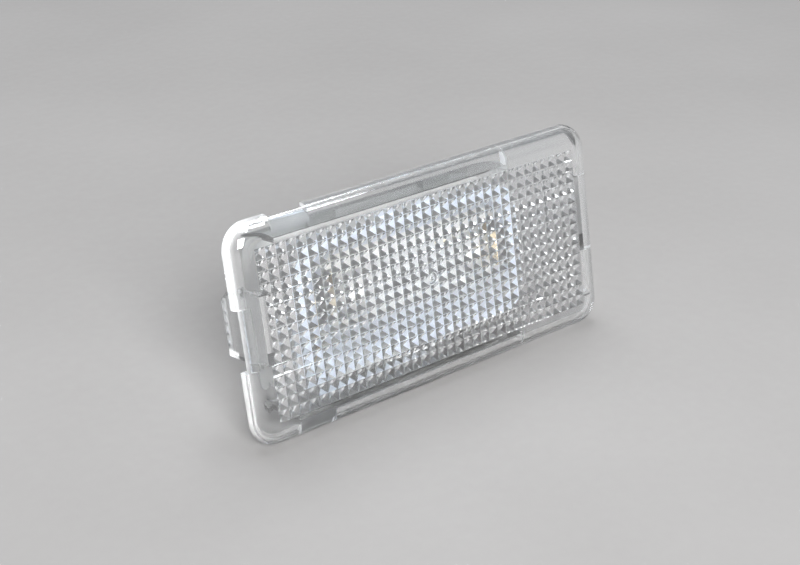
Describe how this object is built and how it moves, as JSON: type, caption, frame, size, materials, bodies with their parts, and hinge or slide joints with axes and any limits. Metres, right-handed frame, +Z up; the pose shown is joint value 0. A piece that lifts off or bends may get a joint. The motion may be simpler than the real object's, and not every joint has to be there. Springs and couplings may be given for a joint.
{
  "type": "car trunk light",
  "caption": "Rectangular clear snap-in trunk light: prismatic lens and flange, metal reflector, festoon bulb, rear cover with wiring socket.",
  "frame": {"origin": "on the table under the middle of the lamp's bounding box", "axes": "+X along the lamp's length, +Z up as it stands, the lens facing -Y and leaning back 10.8 degrees from upright"},
  "size_m": [0.0746, 0.0256, 0.0362],
  "materials": {
    "clear_plastic": "clear polycarbonate, polished",
    "reflector_metal": "bright rolled sheet",
    "cover_plastic": "light grey, moulded",
    "spring_bronze": "spring strip",
    "tinned_brass": "tinned",
    "rivet_steel": "plated",
    "bulb_glass": "clear",
    "cap_metal": "nickel plated",
    "tungsten": "drawn wire",
    "solder": "dull"
  },
  "bodies": {
    "root": {"lens_housing": "clear_plastic", "reflector": "reflector_metal", "rear_cover": "cover_plastic", "contact_spring_left": "spring_bronze", "contact_spring_right": "spring_bronze", "terminal_live": "tinned_brass", "terminal_ground": "tinned_brass", "terminal_rivets": "rivet_steel", "bulb_glass": "bulb_glass", "bulb_cap_left": "cap_metal", "bulb_cap_right": "cap_metal", "bulb_filament": "tungsten", "bulb_lead_left": "tungsten", "bulb_lead_right": "tungsten", "bulb_solder_tips": "solder"}
  },
  "joints": []
}
